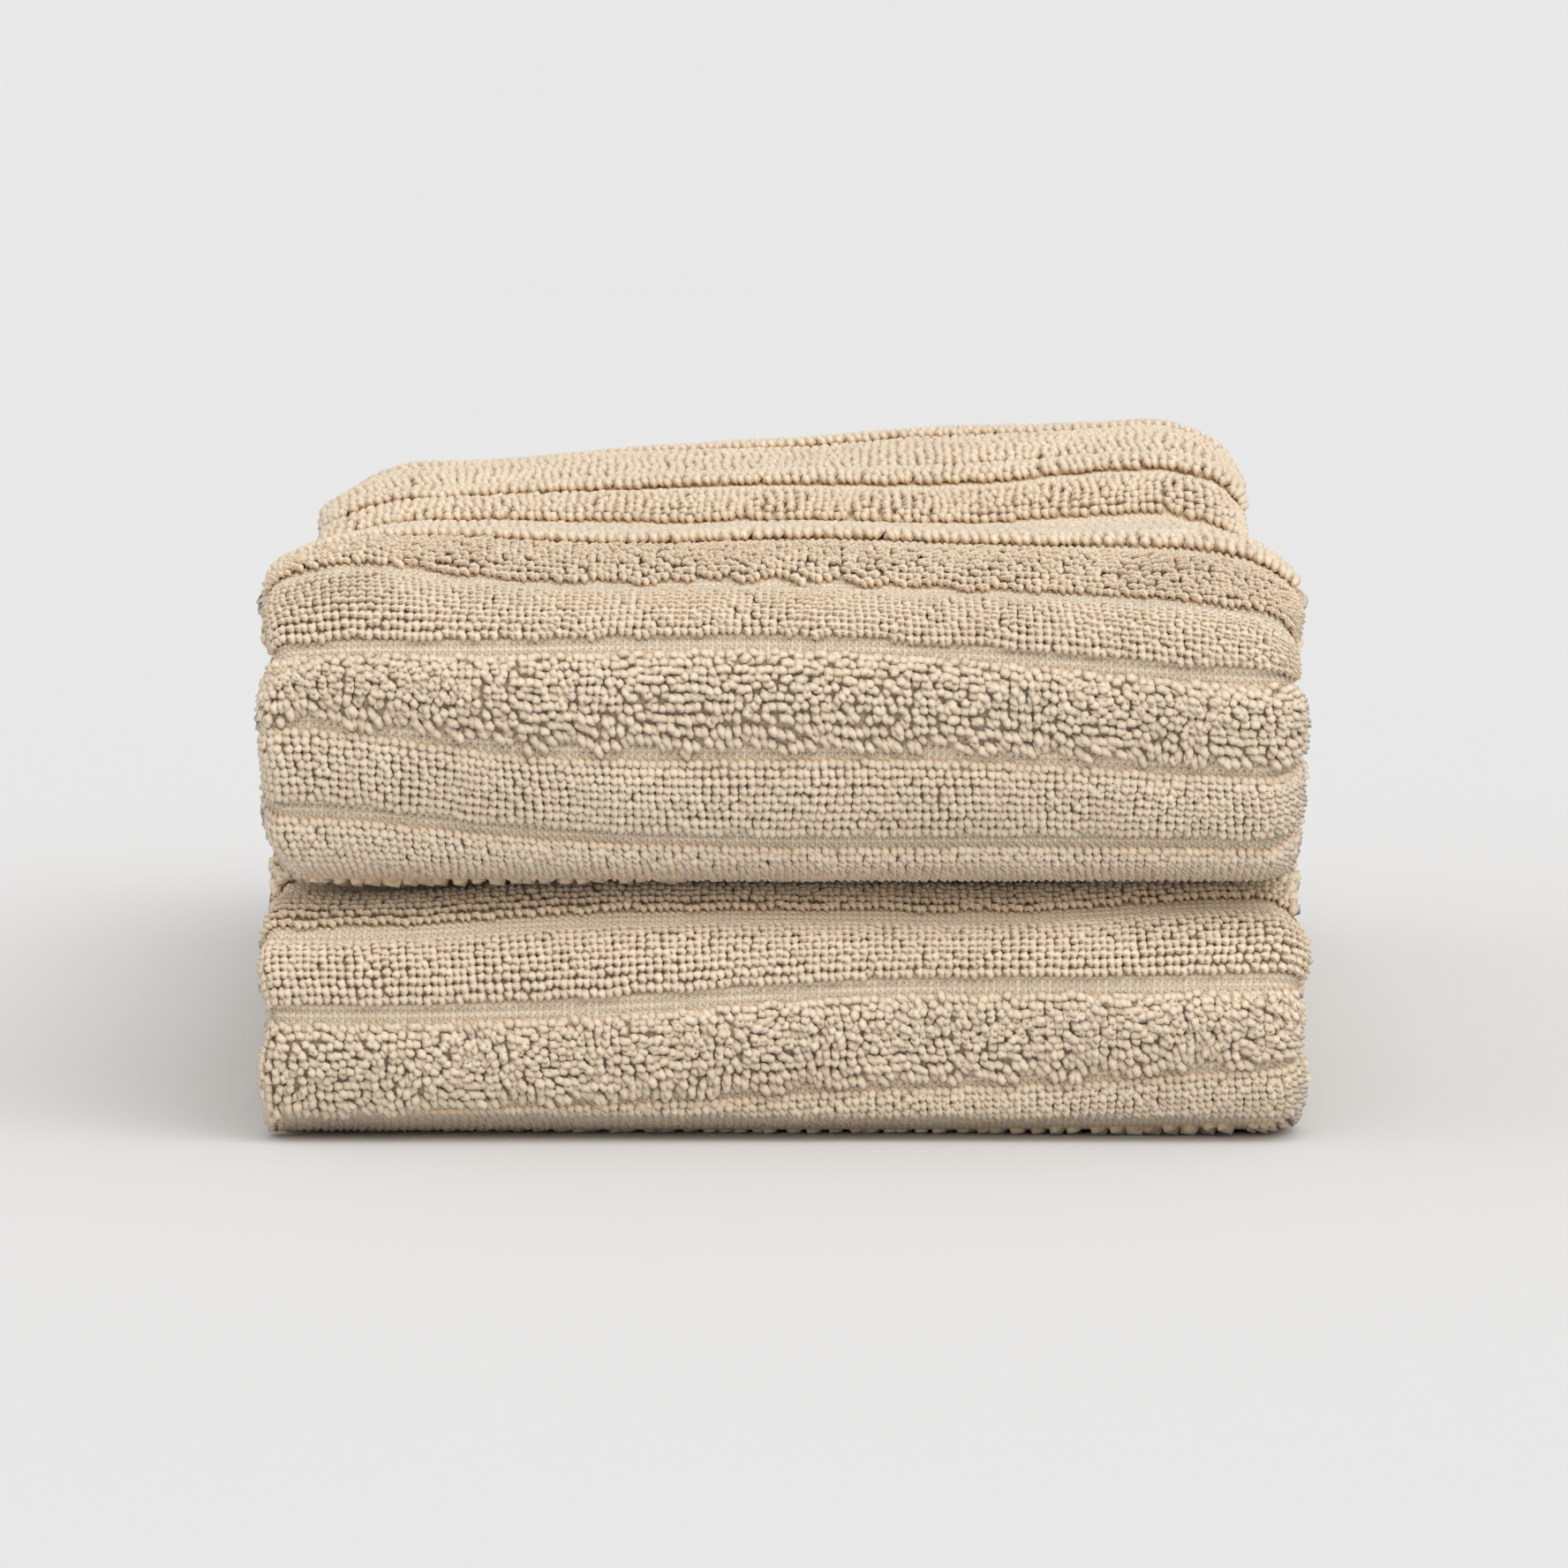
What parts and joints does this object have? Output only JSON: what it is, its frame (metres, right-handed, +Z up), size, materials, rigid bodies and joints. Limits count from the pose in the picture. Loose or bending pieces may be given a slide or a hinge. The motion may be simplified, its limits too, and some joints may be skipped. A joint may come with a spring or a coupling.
{
  "type": "bath towel set",
  "caption": "Stack of folded bath towels in ribbed terry, raised loop bands between flat woven grooves, each folded to a narrow block with its last fold at the front.",
  "frame": {"origin": "centre of the stack's footprint, on the surface that it lies on", "axes": "+Z up; +Y from the front fold towards the hemmed ends at the back; +X towards the side with the wide spine folds"},
  "size_m": [0.184, 0.3658, 0.1092],
  "materials": {
    "terry": "undyed cream cotton terry, two-ply loops, matte",
    "thread": "cream cotton sewing thread, slight sheen",
    "label_tape": "plain off-white woven tape, blank"
  },
  "bodies": {
    "lower_base": {"lower_towel_bottom_leaf": "terry", "lower_towel_outer_hem_stitching": "thread", "lower_towel_inner_hem_stitching": "thread", "lower_towel_care_label": "label_tape", "lower_towel_label_stitching": "thread"},
    "lower_lid": {"lower_towel_top_leaf": "terry"},
    "upper_base": {"upper_towel_bottom_leaf": "terry", "upper_towel_outer_hem_stitching": "thread", "upper_towel_inner_hem_stitching": "thread", "upper_towel_care_label": "label_tape", "upper_towel_label_stitching": "thread"},
    "upper_lid": {"upper_towel_top_leaf": "terry"}
  },
  "joints": [
    {"name": "lower_towel_opening", "type": "hinge", "parent": "lower_base", "child": "lower_lid", "pos_m": [0, -0.18288, 0.0232], "axis": [1, 0, 0], "range_deg": [0, 30]},
    {"name": "upper_towel_lift", "type": "slide", "parent": "lower_lid", "child": "upper_base", "axis": [0, 0, 1], "range_m": [0, 0.15]},
    {"name": "upper_towel_opening", "type": "hinge", "parent": "upper_base", "child": "upper_lid", "pos_m": [0, -0.18288, 0.078], "axis": [1, 0, 0], "range_deg": [0, 60]}
  ]
}
